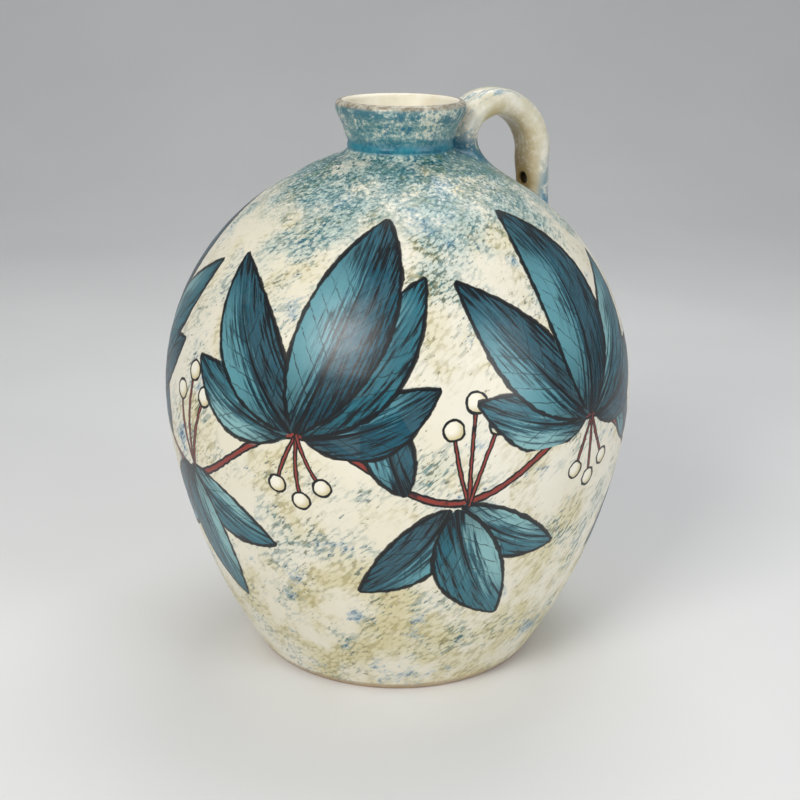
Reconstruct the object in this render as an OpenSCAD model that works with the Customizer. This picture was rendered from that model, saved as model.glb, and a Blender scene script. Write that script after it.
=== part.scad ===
// Puzzle jug: a thrown two-part body, a flared neck, a hollow handle with a hidden hole,
// and a pipe inside that leads from the handle down to the floor.
// Millimetres, +Z up. The origin is the centre of the foot on the table. The handle points to +X.

/* [Foot] */
// Radius of the body just above the bevel of the foot
foot_r = 63; // [58:0.5:70]
// Height and width of the bevel round the foot
foot_bevel = 1.5; // [0.5:0.1:3]
// Width of the flat ring that the jug stands on
foot_ring_w = 9; // [6:0.5:14]
// Depth of the turned hollow under the floor
foot_hollow = 2.5; // [1:0.1:4]

/* [Body] */
// Radius of the round belly and shoulder
belly_r = 101; // [94:0.5:110]
// Height of the widest line above the table
belly_z = 118; // [108:0.5:130]
// Angle below the widest line at which the round belly turns into the long lower wall
tuck_angle = 7; // [2:0.5:12]
// Thickness of the thrown wall
wall = 6; // [4.5:0.25:8]
// Thickness of the floor
floor_t = 9; // [7:0.5:12]
// Radius of the inside corner between wall and floor
floor_fillet = 14; // [8:0.5:20]
// Height of the lap where the two thrown halves are joined
lap_h = 6; // [4:0.5:10]

/* [Neck] */
// Radius of the flat seat on the shoulder that carries the neck
seat_r = 32; // [29:0.5:36]
// Outer radius of the neck at its waist
waist_r = 22; // [21:0.25:24]
// Radius of the hollow curve between neck and shoulder
neck_fillet = 6; // [4:0.25:8]
// Outward lean of the neck above its waist
flare_angle = 17; // [12:0.5:20]
// Height of the rim above the seat
neck_h = 26.2; // [22:0.2:32]
// Radius of the rounded lip
lip_r = 2.4; // [2:0.1:3]
// How far the lip stands proud of the neck
lip_bead = 0.8; // [0.2:0.1:1.2]
// Radius of the round throat
throat_r = 17.5; // [15:0.25:18]
// Wall of the spigot that drops from the neck into the shoulder
spigot_t = 3.6; // [2.6:0.1:4]
// Depth of that spigot below the seat
spigot_h = 4; // [2.5:0.25:6]

/* [Handle] */
// Width of the handle strap
strap_w = 18.5; // [16:0.5:22]
// Thickness of the handle strap
strap_t = 12; // [10.5:0.5:14]
// Gap between the waist of the neck and the strap
root_gap = 1; // [0.5:0.1:3]
// Bend radius of the handle on the side of the neck
root_bend_r = 19; // [16:0.5:22]
// Bend radius of the handle on the outer side
leg_bend_r = 24; // [20:0.5:28]
// How far the handle stands above the rim
handle_rise = 2.8; // [1:0.2:6]
// Radius of the duct inside the handle
duct_r = 3; // [2:0.1:3.5]
// Depth of the duct's port into the neck, below the rim
port_drop = 13; // [11:0.5:15]
// Radius of the hidden hole in the handle's inner face
hole_r = 2.4; // [1.8:0.1:2.8]
// Height of the hidden hole above the foot of the leg's middle line
hole_up = 14; // [12.5:0.5:18]
// Wall of the round spigot under the handle's outer leg
leg_spigot_t = 2; // [1.5:0.1:2.2]

/* [Lutes] */
// Width of the clay bead round the feet of the handle
lute_w = 2.5; // [1.5:0.25:4]
// Height of that bead above the shoulder
lute_h = 2.5; // [1.5:0.25:3.5]
// Width of the clay between neck and handle
fill_w = 14; // [12:0.5:16]
// Height of that clay above the seat
fill_h = 18; // [17:0.5:19]

/* [Siphon pipe] */
// Outer radius of the pipe
tube_r = 6; // [5:0.25:7]
// Radius of the pipe's bore
tube_bore_r = 3; // [2:0.1:3.5]
// Gap between the pipe's open end and the floor
tube_floor_gap = 9; // [6:0.5:14]
// Gap between the pipe's lower end and the wall
tube_wall_gap = 5; // [3:0.5:10]
// Width of the clay collar round the pipe's upper end
collar_w = 4; // [2.5:0.5:6]
// Height of that collar below the shoulder, along the pipe
collar_h = 16; // [13:0.5:20]
// Radius of the clay lug at the pipe's lower end
lug_r = 5; // [4:0.25:5.5]
// Height of the lug above the pipe's open end
lug_up = 12; // [8:0.5:20]

/* [Fits] */
// Slip gap round spigots and laps
fit_gap = 0.2; // [0.1:0.05:0.4]

/* [Hidden] */
$fn = 96;
// Steps along a drawn arc
arc_steps = 24;
// Length by which cutting bodies run past the faces that they cut
over = 6;

stoneware = [0.91, 0.88, 0.80];
glaze_teal = [0.42, 0.60, 0.60];
glaze_cream = [0.86, 0.83, 0.72];
raw_clay = [0.76, 0.66, 0.52];

// Points of an arc in the plane
function arc(c, r, a0, a1) =
    [for (i = [0:arc_steps]) c + r * [cos(a0 + (a1 - a0) * i / arc_steps), sin(a0 + (a1 - a0) * i / arc_steps)]];
// Height of a round dome over a point beside its axis
function dome_z(r, x) = belly_z + sqrt(r * r - x * x);

// Body outline: the belly's circle, and the long arc that leaves it at the tuck and ends at the foot
belly_c = [0, belly_z];
tuck_dir = [cos(tuck_angle), -sin(tuck_angle)];
foot_p = [foot_r, foot_bevel];
tuck_span = belly_c + belly_r * tuck_dir - foot_p;
lower_r = tuck_span * tuck_span / (2 * (tuck_span * tuck_dir));
lower_c = belly_c + (belly_r - lower_r) * tuck_dir;
foot_angle = atan2(foot_bevel - lower_c[1], foot_r - lower_c[0]);
hollow_r = foot_r - foot_bevel - foot_ring_w;
inner_belly_r = belly_r - wall;
inner_lower_r = lower_r - wall;

// Inside corner at the floor
floor_z = foot_hollow + floor_t;
corner_z = floor_z + floor_fillet;
corner_dist = inner_lower_r - floor_fillet;
corner_c = [lower_c[0] + sqrt(pow(corner_dist, 2) - pow(corner_z - lower_c[1], 2)), corner_z];
corner_angle = atan2(corner_z - lower_c[1], corner_c[0] - lower_c[0]);

// Lap between the two halves
lap_r = belly_r - wall / 2;
lap_z = belly_z + lap_h;
lap_angle = asin(lap_h / inner_belly_r);

// Neck seat, opening and outline
seat_z = dome_z(belly_r, seat_r);
seat_angle = acos(seat_r / belly_r);
rim_z = seat_z + neck_h;
spigot_r = throat_r + spigot_t;
opening_r = spigot_r + fit_gap;
fillet_c = [waist_r + neck_fillet,
            belly_z + sqrt(pow(belly_r + neck_fillet, 2) - pow(waist_r + neck_fillet, 2))];
fillet_angle = atan2(belly_z - fillet_c[1], -fillet_c[0]) + 360;
skirt_angle = fillet_angle - 180;
flare_p = fillet_c + neck_fillet * [-cos(flare_angle), sin(flare_angle)];
lip_z = rim_z - lip_r;
lip_in = lip_r - lip_bead;
lip_c = [flare_p[0] + (lip_z - flare_p[1]) * tan(flare_angle) - lip_in / cos(flare_angle), lip_z];
lip_start = -flare_angle - acos(lip_in / lip_r);
mouth_p = lip_c + lip_r * [-cos(flare_angle), sin(flare_angle)];
throat_top_z = mouth_p[1] - (mouth_p[0] - throat_r) / tan(flare_angle);

// Handle line: root leg, root bend, outer bend and outer leg, in the plane of X and Z
apex_z = rim_z + handle_rise - strap_t / 2;
root_x = waist_r + root_gap + strap_t / 2;
apex_x = root_x + root_bend_r;
root_bend_c = [apex_x, apex_z - root_bend_r];
leg_bend_c = [apex_x, apex_z - leg_bend_r];
leg_x = apex_x + leg_bend_r;
leg_foot_z = dome_z(belly_r, leg_x);
leg_end_z = dome_z(inner_belly_r, leg_x);
leg_spigot_r = duct_r + leg_spigot_t;
port_z = rim_z - port_drop;
port_turn = acos(1 - (apex_z - port_z) / root_bend_r);
port_x = apex_x - root_bend_r * sin(port_turn);
hole_z = leg_foot_z + hole_up;
strap_side = strap_w / 2 - strap_t / 2;

// Pipe line: from the inner end of the handle's duct to a point over the floor
tube_top = [leg_x, leg_end_z];
tube_end_z = floor_z + tube_floor_gap;
tube_end_x = lower_c[0] + sqrt(pow(inner_lower_r, 2) - pow(tube_end_z - lower_c[1], 2)) - tube_wall_gap - tube_r;
tube_run = tube_top - [tube_end_x, tube_end_z];
tube_len = sqrt(tube_run * tube_run);
tube_tilt = atan2(tube_run[0], tube_run[1]);
lug_z = tube_end_z + lug_up;
lug_x = tube_end_x + lug_up * tan(tube_tilt);

// Outline points
function body_outer() = concat(
    arc(lower_c, lower_r, foot_angle, -tuck_angle),
    arc(belly_c, belly_r, -tuck_angle, 0));
function body_inner() = concat(
    arc(corner_c, floor_fillet, -90, corner_angle),
    arc(lower_c, inner_lower_r, corner_angle, -tuck_angle),
    arc(belly_c, inner_belly_r, -tuck_angle, 0));
function reversed(p) = [for (i = [len(p) - 1:-1:0]) p[i]];
function neck_outer() = concat(
    arc(belly_c, belly_r, seat_angle, skirt_angle),
    arc(fillet_c, neck_fillet, fillet_angle, 180 - flare_angle),
    arc(lip_c, lip_r, lip_start, 180 - flare_angle));

// Filled bodies that other pieces are cut by
module dome(r) {
    translate([0, 0, belly_z])
        sphere(r = r);
}
module shoulder_solid() {
    difference() {
        dome(belly_r);
        translate([0, 0, seat_z])
            cylinder(r = belly_r, h = belly_r);
    }
}
module shoulder_shell() {
    difference() {
        dome(2 * belly_r);
        dome(inner_belly_r);
        translate([0, 0, belly_z - 2 * belly_r])
            cylinder(r = 2 * belly_r, h = 2 * belly_r);
    }
}
module neck_solid() {
    rotate_extrude()
        polygon(concat([[0, seat_z - over], [seat_r, seat_z - over]], neck_outer(), [[0, mouth_p[1]]]));
}
module bowl_room() {
    rotate_extrude()
        polygon(concat([[0, floor_z]], body_inner(), [[0, belly_z]]));
}

// A section swept from the top of the handle down one side, in the plane of X and Z
module bend(c, r, turn) {
    translate([c[0], 0, c[1]])
        rotate([90, 0, 0])
            rotate([0, 0, 90])
                rotate_extrude(angle = turn)
                    translate([r, 0])
                        children();
}
module strap_section(grow) {
    square([strap_t + 2 * grow, 2 * strap_side], center = true);
    for (side = [-1, 1])
        translate([0, side * strap_side])
            circle(r = strap_t / 2 + grow);
}
module strap() {
    translate([root_x, 0, root_bend_c[1]])
        mirror([0, 0, 1])
            linear_extrude(root_bend_c[1] - seat_z + over)
                strap_section(0);
    bend(root_bend_c, root_bend_r, 90)
        strap_section(0);
    bend(leg_bend_c, leg_bend_r, -90)
        strap_section(0);
    translate([leg_x, 0, leg_bend_c[1]])
        mirror([0, 0, 1])
            linear_extrude(leg_bend_c[1] - leg_end_z + strap_t)
                strap_section(0);
}
module duct() {
    bend(root_bend_c, root_bend_r, port_turn)
        circle(r = duct_r);
    bend(leg_bend_c, leg_bend_r, -90)
        circle(r = duct_r);
    translate([leg_x, 0, leg_end_z - over])
        cylinder(r = duct_r, h = leg_bend_c[1] - leg_end_z + over);
}
module port() {
    translate([throat_r - over, 0, port_z])
        rotate([0, 90, 0])
            cylinder(r = duct_r, h = port_x - throat_r + over);
}
module hidden_hole() {
    translate([leg_x - strap_t, 0, hole_z])
        rotate([0, 90, 0])
            cylinder(r = hole_r, h = strap_t);
}
module leg_spigot(r) {
    translate([leg_x, 0, leg_end_z - over])
        cylinder(r = r, h = leg_foot_z - leg_end_z + 2 * over);
}
// Clay bead that follows the shoulder round a foot of the strap
module bead(x) {
    intersection() {
        translate([x, 0, belly_z])
            linear_extrude(belly_r)
                strap_section(lute_w);
        dome(belly_r + lute_h);
    }
}
// The same bead under the handle's root, carried on to the neck
module root_bead() {
    bead(root_x);
    intersection() {
        translate([0, -strap_w / 2 - lute_w, belly_z])
            cube([root_x, strap_w + 2 * lute_w, belly_r]);
        dome(belly_r + lute_h);
    }
}
module on_tube() {
    translate([tube_end_x, 0, tube_end_z])
        rotate([0, tube_tilt, 0])
            children();
}
module tube_body() {
    on_tube()
        cylinder(r = tube_r, h = tube_len + tube_r + wall);
}

// Thrown bowl with floor, turned foot and the tongue of the lap
module lower_body() {
    color(stoneware)
        rotate_extrude()
            polygon(concat(
                [[0, foot_hollow], [hollow_r - foot_hollow, foot_hollow], [hollow_r, 0],
                 [foot_r - foot_bevel, 0]],
                body_outer(),
                [[lap_r - fit_gap, belly_z], [lap_r - fit_gap, lap_z]],
                arc(belly_c, inner_belly_r, lap_angle, 0),
                reversed(body_inner()),
                [[0, floor_z]]));
}

// Shoulder dome with the rabbet of the lap, the neck opening and the hole under the handle
module upper_body() {
    color(stoneware)
        difference() {
            shoulder_solid();
            dome(inner_belly_r);
            translate([0, 0, belly_z - belly_r])
                cylinder(r = belly_r + over, h = belly_r);
            translate([0, 0, belly_z - over])
                cylinder(r = lap_r, h = lap_h + fit_gap + over);
            translate([0, 0, belly_z])
                cylinder(r = opening_r, h = belly_r);
            leg_spigot(leg_spigot_r + fit_gap);
        }
}

// Collar with flared neck, rounded lip, round throat and the port into the handle
module neck() {
    color(glaze_teal)
        difference() {
            rotate_extrude()
                polygon(concat(
                    [[spigot_r, seat_z]],
                    neck_outer(),
                    [[throat_r, throat_top_z], [throat_r, seat_z - spigot_h],
                     [spigot_r, seat_z - spigot_h]]));
            port();
        }
}

// Hollow arched strap with the hidden hole and the spigot that enters the shoulder
module handle() {
    color(glaze_cream)
        difference() {
            union() {
                difference() {
                    strap();
                    shoulder_solid();
                    neck_solid();
                }
                difference() {
                    leg_spigot(leg_spigot_r);
                    dome(inner_belly_r);
                }
            }
            duct();
            port();
            hidden_hole();
        }
}

// Clay joint between neck, shoulder and the handle's root
module root_lute() {
    color(glaze_teal)
        difference() {
            union() {
                root_bead();
                translate([0, -fill_w / 2, seat_z - over])
                    cube([root_x, fill_w, fill_h + over]);
            }
            strap();
            shoulder_solid();
            neck_solid();
            port();
        }
}

// Clay joint between the shoulder and the handle's outer leg
module foot_lute() {
    color(glaze_cream)
        difference() {
            bead(leg_x);
            strap();
            shoulder_solid();
        }
}

// Straight clay pipe inside the body
module siphon_tube() {
    color(raw_clay)
        difference() {
            tube_body();
            shoulder_shell();
            on_tube()
                translate([0, 0, -over])
                    cylinder(r = tube_bore_r, h = tube_len + tube_r + wall + 2 * over);
        }
}

// Clay joint between the pipe and the inside of the shoulder
module tube_collar() {
    color(raw_clay)
        difference() {
            on_tube()
                translate([0, 0, tube_len - collar_h])
                    cylinder(r = tube_r + collar_w, h = collar_h + tube_r + wall);
            shoulder_shell();
            tube_body();
        }
}

// Clay lug between the pipe's lower end and the wall
module tube_lug() {
    color(raw_clay)
        difference() {
            intersection() {
                translate([lug_x, 0, lug_z])
                    rotate([0, 90, 0])
                        cylinder(r = lug_r, h = belly_r);
                bowl_room();
            }
            tube_body();
        }
}

lower_body();
upper_body();
neck();
handle();
root_lute();
foot_lute();
siphon_tube();
tube_collar();
tube_lug();
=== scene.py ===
import math

import bmesh
import bpy
import numpy as np
from mathutils import Matrix, Vector


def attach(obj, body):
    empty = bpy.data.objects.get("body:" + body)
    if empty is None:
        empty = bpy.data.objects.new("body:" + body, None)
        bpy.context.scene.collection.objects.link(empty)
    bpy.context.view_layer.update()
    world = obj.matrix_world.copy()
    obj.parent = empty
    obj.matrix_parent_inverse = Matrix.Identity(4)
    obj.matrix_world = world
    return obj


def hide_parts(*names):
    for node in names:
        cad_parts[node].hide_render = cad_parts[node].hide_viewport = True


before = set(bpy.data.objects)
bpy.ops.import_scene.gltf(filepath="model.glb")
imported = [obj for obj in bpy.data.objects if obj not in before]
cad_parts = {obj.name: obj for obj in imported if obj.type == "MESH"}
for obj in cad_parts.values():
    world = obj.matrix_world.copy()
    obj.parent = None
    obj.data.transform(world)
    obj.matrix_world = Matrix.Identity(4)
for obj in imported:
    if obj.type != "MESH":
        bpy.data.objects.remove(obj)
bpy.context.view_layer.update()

MM = 0.001
TAU = 2 * math.pi

# Sizes of the jug in millimetres, the same as in the part's source
FOOT_R, BEVEL, RING_W, HOLLOW = 63.0, 1.5, 9.0, 2.5
BELLY_R, BELLY_Z, TUCK, WALL = 101.0, 118.0, math.radians(7), 6.0
FLOOR_T, FLOOR_FILLET, LAP_H, GAP = 9.0, 14.0, 6.0, 0.2
SEAT_R, WAIST_R, NECK_FILLET, FLARE = 32.0, 22.0, 6.0, math.radians(17)
NECK_H, LIP_R, LIP_BEAD, THROAT_R = 26.2, 2.4, 0.8, 17.5
SPIGOT_T, SPIGOT_H = 3.6, 4.0
STRAP_W, STRAP_T, ROOT_GAP, RISE = 18.5, 12.0, 1.0, 2.8
ROOT_BEND, LEG_BEND, DUCT_R = 19.0, 24.0, 3.0
PORT_DROP, HOLE_R, HOLE_UP = 13.0, 2.4, 14.0

# The hidden hole lies this much lower here than in the source
HOLE_EASE = 0.8

# Places that follow from the sizes
tuck = np.array([math.cos(TUCK), -math.sin(TUCK)])
belly_c = np.array([0.0, BELLY_Z])
span = belly_c + BELLY_R * tuck - np.array([FOOT_R, BEVEL])
LOWER_R = span.dot(span) / (2 * span.dot(tuck))
lower_c = belly_c + (BELLY_R - LOWER_R) * tuck
FLOOR_Z = HOLLOW + FLOOR_T
INNER_R = BELLY_R - WALL
SEAT_Z = BELLY_Z + math.sqrt(BELLY_R ** 2 - SEAT_R ** 2)
RIM_Z = SEAT_Z + NECK_H
fillet_x = WAIST_R + NECK_FILLET
fillet_c = np.array([fillet_x, BELLY_Z + math.sqrt((BELLY_R + NECK_FILLET) ** 2 - fillet_x ** 2)])
flare_p = fillet_c + NECK_FILLET * np.array([-math.cos(FLARE), math.sin(FLARE)])
lip_z = RIM_Z - LIP_R
lip_in = LIP_R - LIP_BEAD
lip_x = flare_p[0] + (lip_z - flare_p[1]) * math.tan(FLARE) - lip_in / math.cos(FLARE)
lip_c = np.array([lip_x, lip_z])
mouth_p = lip_c + LIP_R * np.array([-math.cos(FLARE), math.sin(FLARE)])
THROAT_TOP = mouth_p[1] - (mouth_p[0] - THROAT_R) / math.tan(FLARE)
APEX_Z = RIM_Z + RISE - STRAP_T / 2
ROOT_X = WAIST_R + ROOT_GAP + STRAP_T / 2
APEX_X = ROOT_X + ROOT_BEND
LEG_X = APEX_X + LEG_BEND
LEG_FOOT_Z = BELLY_Z + math.sqrt(BELLY_R ** 2 - LEG_X ** 2)
PORT_Z = RIM_Z - PORT_DROP
HOLE_Z = LEG_FOOT_Z + HOLE_UP - HOLE_EASE


# Node helpers

class Val:
    """A value in a shader tree that can be written as a formula."""

    def __init__(self, tree, socket):
        self.tree, self.socket = tree, socket

    def _op(self, op, *rest):
        n = self.tree.nodes.new("ShaderNodeMath")
        n.operation = op
        for i, v in enumerate((self,) + rest):
            put(n.inputs[i], v)
        return Val(self.tree, n.outputs[0])

    def __add__(self, o): return self._op("ADD", o)
    __radd__ = __add__
    def __mul__(self, o): return self._op("MULTIPLY", o)
    __rmul__ = __mul__
    def __sub__(self, o): return self._op("SUBTRACT", o)
    def __rsub__(self, o): return (self * -1.0) + o
    def __truediv__(self, o): return self._op("DIVIDE", o)
    def __pow__(self, o): return self._op("POWER", o)
    def abs(self): return self._op("ABSOLUTE")
    def floor(self): return self._op("FLOOR")
    def fract(self): return self._op("FRACT")
    def sin(self): return self._op("SINE")
    def cos(self): return self._op("COSINE")
    def asin(self): return self._op("ARCSINE")
    def atan2(self, x): return self._op("ARCTAN2", x)
    def sqrt(self): return self._op("SQRT")
    def wrap(self, o): return self._op("FLOORED_MODULO", o)
    def max(self, o): return self._op("MAXIMUM", o)
    def min(self, o): return self._op("MINIMUM", o)
    def over(self, o): return self._op("GREATER_THAN", o)
    def under(self, o): return self._op("LESS_THAN", o)


def put(socket, v):
    """Links a value to a socket, or sets a constant on it."""
    if isinstance(v, Val):
        v.tree.links.new(v.socket, socket)
    elif isinstance(v, tuple) and len(v) == 3 and socket.type == "RGBA":
        socket.default_value = (*v, 1.0)
    else:
        socket.default_value = v


def ramp(x, lo, hi, to_lo=0.0, to_hi=1.0):
    """Smooth step of x from lo to hi, where hi may be the lower number."""
    n = x.tree.nodes.new("ShaderNodeMapRange")
    n.interpolation_type = "SMOOTHSTEP"
    n.clamp = False
    for i, v in enumerate((x, lo, hi, to_lo, to_hi)):
        put(n.inputs[i], v)
    return Val(x.tree, n.outputs[0])


def mix(fac, a, b):
    """Colour a, with b laid over it by the factor."""
    tree = next(v.tree for v in (fac, a, b) if isinstance(v, Val))
    n = tree.nodes.new("ShaderNodeMix")
    n.data_type = "RGBA"
    n.clamp_factor = True
    put(n.inputs[0], fac)
    put(n.inputs[6], a)
    put(n.inputs[7], b)
    return Val(tree, n.outputs[2])


def vec(tree, x, y, z):
    """A vector of three values."""
    n = tree.nodes.new("ShaderNodeCombineXYZ")
    for i, v in enumerate((x, y, z)):
        put(n.inputs[i], v)
    return Val(tree, n.outputs[0])


def noise(v, size, detail=2.0, rough=0.5, shift=0.0):
    """Noise with features of about that size, in the units of v. A shift gives another pattern."""
    if shift:
        a = v.tree.nodes.new("ShaderNodeVectorMath")
        put(a.inputs[0], v)
        a.inputs[1].default_value = (shift, shift * 0.7, -shift * 0.4)
        v = Val(v.tree, a.outputs[0])
    n = v.tree.nodes.new("ShaderNodeTexNoise")
    put(n.inputs["Vector"], v)
    n.inputs["Scale"].default_value = 1.0 / size
    n.inputs["Detail"].default_value = detail
    n.inputs["Roughness"].default_value = rough
    return Val(v.tree, n.outputs[0])


def about(n, amount):
    """Noise turned into a change of either sign, of about that amount."""
    return (n - 0.5) * amount


def cells(v, size):
    """Distance to the nearest of many scattered points, that lie about that far apart."""
    n = v.tree.nodes.new("ShaderNodeTexVoronoi")
    put(n.inputs["Vector"], v)
    n.inputs["Scale"].default_value = 1.0 / size
    return Val(v.tree, n.outputs["Distance"])


def rand(w, k):
    """A fixed chance number for repeat w, another for each k."""
    seed = w + k * 17.31
    n = w.tree.nodes.new("ShaderNodeTexWhiteNoise")
    n.noise_dimensions = "1D"
    put(n.inputs["W"], seed)
    return Val(w.tree, n.outputs["Value"])


def srgb(r, g, b):
    """Linear colour from the numbers that a screen shows."""
    def lin(c):
        c /= 255.0
        return c / 12.92 if c <= 0.04045 else ((c + 0.055) / 1.055) ** 2.4
    return (lin(r), lin(g), lin(b))


def new_material(name):
    """A new material with its tree and its shader, and nothing else in it yet."""
    m = bpy.data.materials.new(name)
    m.use_nodes = True
    t = m.node_tree
    t.nodes.clear()
    out = t.nodes.new("ShaderNodeOutputMaterial")
    bsdf = t.nodes.new("ShaderNodeBsdfPrincipled")
    t.links.new(bsdf.outputs[0], out.inputs[0])
    return m, t, bsdf


def place(t):
    """Place on the jug in millimetres: the point, x, y, z, distance from the axis and angle."""
    c = t.nodes.new("ShaderNodeTexCoord")
    s = t.nodes.new("ShaderNodeVectorMath")
    s.operation = "SCALE"
    t.links.new(c.outputs["Object"], s.inputs[0])
    s.inputs["Scale"].default_value = 1.0 / MM
    p = Val(t, s.outputs[0])
    sep = t.nodes.new("ShaderNodeSeparateXYZ")
    put(sep.inputs[0], p)
    x, y, z = (Val(t, o) for o in sep.outputs)
    r = (x * x + y * y).sqrt()
    return p, x, y, z, r, y.atan2(x)


def bump(t, bsdf, height, strength, distance):
    """Fine relief on a material, with the distance in metres."""
    b = t.nodes.new("ShaderNodeBump")
    put(b.inputs["Height"], height)
    b.inputs["Strength"].default_value = strength
    b.inputs["Distance"].default_value = distance
    t.links.new(b.outputs[0], bsdf.inputs["Normal"])


# Colours of the sponged ground
CREAM, CREAM_WARM, CREAM_PALE = srgb(234, 229, 212), srgb(226, 218, 190), srgb(236, 232, 216)
OLIVE_WASH, TEAL_WASH, BLUE_WASH = srgb(204, 193, 138), srgb(112, 166, 170), srgb(60, 134, 172)
OLIVE_NET, TEAL_NET = srgb(150, 136, 74), srgb(38, 106, 114)
OLIVE_FLECK, BLUE_FLECK, BLUE_SPOT = srgb(94, 94, 58), srgb(24, 82, 112), srgb(34, 88, 124)

# Colours on and round the neck
DAB_TEAL, DAB_GREEN, DAB_DARK = srgb(44, 116, 122), srgb(92, 128, 104), srgb(18, 66, 74)
WALL_PALE, WALL_TEAL = srgb(166, 186, 178), srgb(28, 108, 120)
WALL_CREAM, WALL_BLUE = srgb(216, 211, 190), srgb(36, 94, 134)
POOL_LIGHT, POOL_DEEP, BAND_BLUE = srgb(26, 122, 140), srgb(10, 94, 118), srgb(48, 104, 120)
# The rim's rubbed brown and pale, and a brown for painted shade in the crevice between neck and
# handle
RIM_BROWN, RIM_PALE, CORNER_SHADE_BROWN = srgb(138, 120, 96), srgb(196, 188, 168), srgb(104, 88, 60)

# Colours of the painted vine, where a leaf has a dark, a middle and a light tone
INK, RUST, LEAF_BASE = srgb(13, 15, 18), srgb(138, 54, 44), srgb(10, 34, 42)
BERRY_LIGHT, BERRY_SHADE = srgb(242, 237, 220), srgb(204, 190, 140)
DEEP = (srgb(8, 42, 52), srgb(18, 82, 100), srgb(92, 150, 160))
SOFT = (srgb(12, 56, 68), srgb(34, 106, 122), srgb(132, 178, 180))

# Colours of the handle
STRAP_CREAM, STRAP_WARM, STREAK_BLUE = srgb(230, 225, 208), srgb(214, 207, 180), srgb(92, 136, 156)
FOOT_BLUE, ROOT_BLUE, ARCH_OLIVE = srgb(58, 120, 148), srgb(14, 100, 126), srgb(180, 162, 106)
# Tan and brown of the leg's inner face, partly stain and partly painted shade
FACE_TAN, FACE_STAIN_SHADE = srgb(186, 162, 116), srgb(112, 82, 40)
# A brown stain round the hidden hole, and painted shade inside it
HOLE_BROWN, HOLE_SHADE = srgb(150, 122, 64), srgb(10, 8, 7)

# Colours of the liner and of bare clay
LINER, LINER_WARM, LINER_FLECK = srgb(240, 235, 218), srgb(228, 219, 194), srgb(190, 172, 130)
FOOT_CLAY, CLAY_FLECK = srgb(170, 146, 114), srgb(86, 62, 44)

# Where the washes lie, in millimetres: from none to full, by height or by distance from the axis
SHOULDER, LOWER_WALL, FOOT_EDGE = (164.0, 213.0), (100.0, 35.0), (4.4, 2.4)
ROUND_NECK, ABOVE_SHOULDER = (76.0, 32.0), (180.0, 203.0)
NECK_WALL, NECK_SIDE = (219.0, 222.0), (33.0, 30.0)
POOL_FLOOR, POOL_TOP, POOL_SIDE = (219.4, 220.8), (228.0, 222.0), (31.0, 28.0)
UNDER_LIP, RIM = (231.5, 235.0), (237.2, 239.2)
# Where the painted shade in the crevice between neck and handle lies
CORNER_SIDE, CORNER_REACH, CORNER_WALL = (13.5, 9.5), (37.0, 31.0), (225.0, 231.0)
CORNER_TURN = (0.7, 0.9)

# How the dabs of the sponge lie on the wall
NECK_FROM, STEEPEST, LOWER_STRETCH = 215.0, 0.96, 1.05
DAB_SLANT, DAB_STRETCH = 0.0085, 0.62


def spread(t, z, r, ang):
    """Height along the wall from the widest line, and a place in which dabs lie slantwise."""
    up = z.over(BELLY_Z)
    s = ((z - BELLY_Z) / BELLY_R).max(0.0).min(STEEPEST)
    above = s.asin() * BELLY_R * up
    v = above + (z - BELLY_Z) * LOWER_STRETCH * (1.0 - up) + (z - NECK_FROM).max(0.0)
    turn = ang - v * DAB_SLANT
    return v, vec(t, turn.cos() * r, turn.sin() * r, v * DAB_STRETCH)


def ground(p, q, z):
    """The sponged glaze under the painting: cream, with olive, teal and blue dabs."""
    high = ramp(z, *SHOULDER)
    low = ramp(z, *LOWER_WALL)
    cloud = noise(p, 46.0, 3.0, 0.55)
    at_teal = noise(p, 24.0, 4.0, 0.62, 40.0)
    at_olive = noise(p, 22.0, 4.0, 0.62, 57.0)
    at_blue = noise(p, 17.0, 3.0, 0.55, 91.0)
    net = cells(q, 2.1)
    dab = noise(q, 1.5, 3.0, 0.62, 11.0)
    grit = noise(p, 0.8, 2.0, 0.6, 70.0)

    col = mix(ramp(cloud, 0.35, 0.68) * 0.5, CREAM, CREAM_WARM)
    # Soft washes that the sponge left
    olive = ramp(at_olive + low * 0.07, 0.47, 0.70)
    col = mix(olive * (0.46 + low * 0.25), col, OLIVE_WASH)
    teal = ramp(at_teal + high * 0.16, 0.50, 0.76)
    col = mix(teal * (0.20 + high * 0.50), col, TEAL_WASH)
    col = mix(ramp(at_blue + about(dab, 0.35), 0.59, 0.73) * 0.52, col, BLUE_WASH)
    # The net between the cells of the sponge
    dark = ramp(net + about(dab, 0.8), 0.46, 0.74)
    tone = mix(ramp(at_teal - at_olive * 0.6 + high * 0.16, 0.16, 0.32), OLIVE_NET, TEAL_NET)
    amount = ramp(at_olive + low * 0.05, 0.42, 0.68) * 0.5
    amount = amount + ramp(at_teal + high * 0.16, 0.46, 0.72) * 0.55
    col = mix(dark * amount, col, tone)
    # Small dark flecks, bluer in some places, and pale gaps on the shoulder
    fleck = dab + about(at_teal, 0.55) + about(at_olive, 0.25) + high * 0.06
    fleck = ramp(fleck, 0.62, 0.71) * 0.72
    bluer = ramp(at_blue + about(cloud, 0.6), 0.44, 0.60)
    col = mix(fleck, col, mix(bluer, OLIVE_FLECK, BLUE_FLECK))
    col = mix(ramp(dab, 0.45, 0.34) * high * 0.75, col, CREAM_PALE)
    # Scattered blue spots
    spot = ramp(at_blue + about(dab, 0.55) + about(grit, 0.2), 0.70, 0.80)
    col = mix(spot * 0.8, col, BLUE_SPOT)
    return col, dab, grit


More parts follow.
